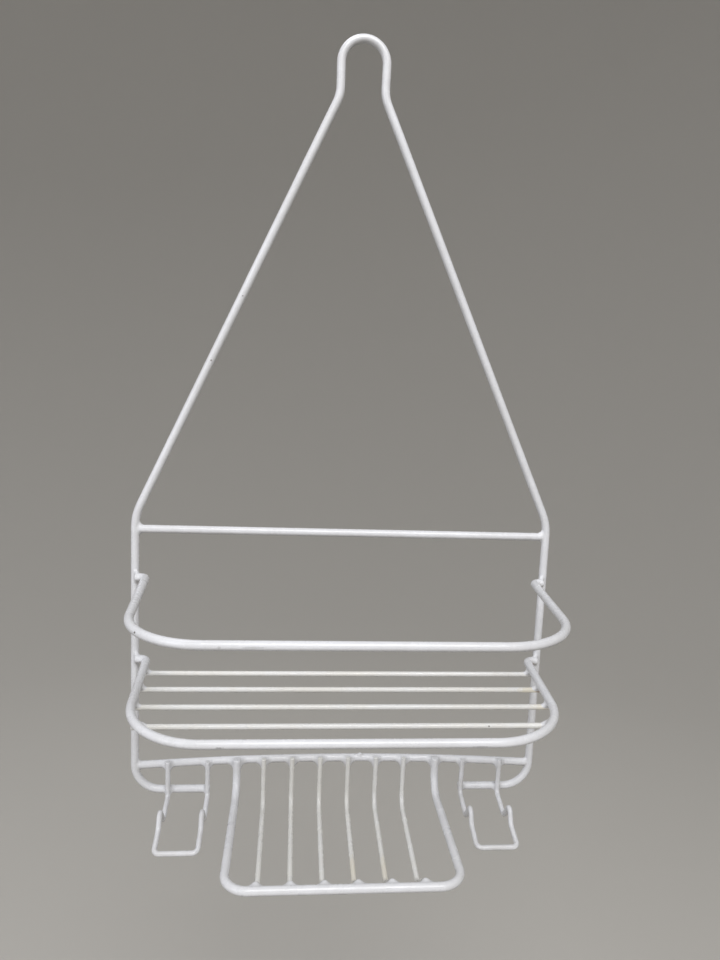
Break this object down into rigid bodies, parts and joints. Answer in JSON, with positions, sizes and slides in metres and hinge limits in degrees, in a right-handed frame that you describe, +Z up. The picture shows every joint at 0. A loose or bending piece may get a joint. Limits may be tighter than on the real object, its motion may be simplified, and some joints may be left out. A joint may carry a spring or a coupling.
{
  "type": "shower caddy",
  "caption": "Hanging shower caddy of white coated wire with a railed basket shelf, a washcloth bar, a soap dish and razor hooks.",
  "frame": {"origin": "the point at the inner top of the hanging loop that rests on the shower arm, in the plane of the hanger frame", "axes": "+Z up, +X to the right seen from the front, -Y out of the wall towards the user; the hanger frame lies in the XZ plane"},
  "size_m": [0.2784, 0.1202, 0.4998],
  "materials": {
    "thick_coating": "thick smooth white plastic coating, semi-gloss",
    "thin_coating": "white plastic coating, semi-gloss, slightly yellowed with age"
  },
  "bodies": {
    "root": {"hanger_frame": "thick_coating", "washcloth_bar": "thick_coating", "lower_crossbar": "thick_coating", "basket_upper_rail": "thick_coating", "basket_lower_rail": "thick_coating", "soap_dish_rim": "thick_coating", "shelf_wire_1": "thin_coating", "shelf_wire_2": "thin_coating", "shelf_wire_3": "thin_coating", "shelf_wire_4": "thin_coating", "soap_dish_wire_1": "thin_coating", "soap_dish_wire_2": "thin_coating", "soap_dish_wire_3": "thin_coating", "soap_dish_wire_4": "thin_coating", "soap_dish_wire_5": "thin_coating", "soap_dish_wire_6": "thin_coating", "razor_hook_left": "thin_coating", "razor_hook_right": "thin_coating"}
  },
  "joints": []
}
